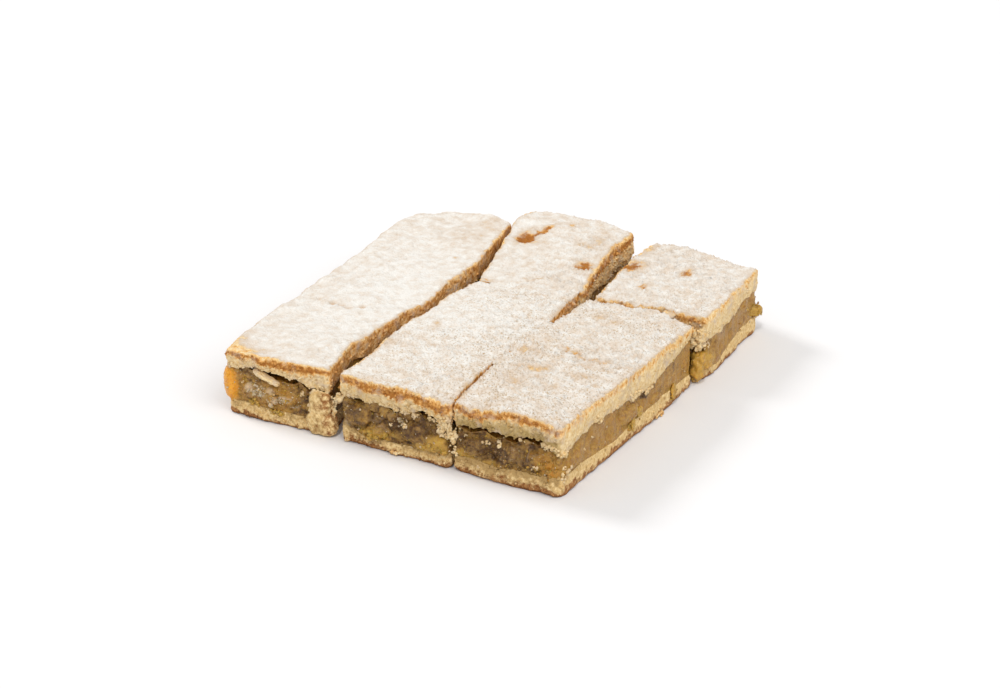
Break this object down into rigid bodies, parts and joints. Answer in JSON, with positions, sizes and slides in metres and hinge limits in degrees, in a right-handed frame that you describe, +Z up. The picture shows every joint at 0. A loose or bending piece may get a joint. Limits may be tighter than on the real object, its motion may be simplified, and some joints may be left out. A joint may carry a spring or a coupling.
{
  "type": "apple pie",
  "caption": "Flat tray-baked apple pie, sugar-dusted and cut into blocks that keep the whole's shape, with apple filling between two pastry sheets.",
  "frame": {"origin": "centre of the bounding box's bottom face, on the surface the pie rests on", "axes": "+Z up; +Y along the long strips, from the front cut to the back; +X across the strips, to the right"},
  "size_m": [0.1908, 0.2176, 0.0345],
  "materials": {
    "sugared_crust": "matte, powdery icing sugar over browned shortcrust",
    "pastry_base": "matte, crumbly baked shortcrust",
    "apple_filling": "moist, translucent cooked apple"
  },
  "bodies": {
    "root": {"left_strip_base": "pastry_base", "left_strip_apple": "apple_filling", "left_strip_lid": "sugared_crust", "middle_front_base": "pastry_base", "middle_front_apple": "apple_filling", "middle_front_lid": "sugared_crust", "middle_back_base": "pastry_base", "middle_back_apple": "apple_filling", "middle_back_lid": "sugared_crust", "right_front_base": "pastry_base", "right_front_apple": "apple_filling", "right_front_lid": "sugared_crust", "right_back_base": "pastry_base", "right_back_apple": "apple_filling", "right_back_lid": "sugared_crust"}
  },
  "joints": []
}
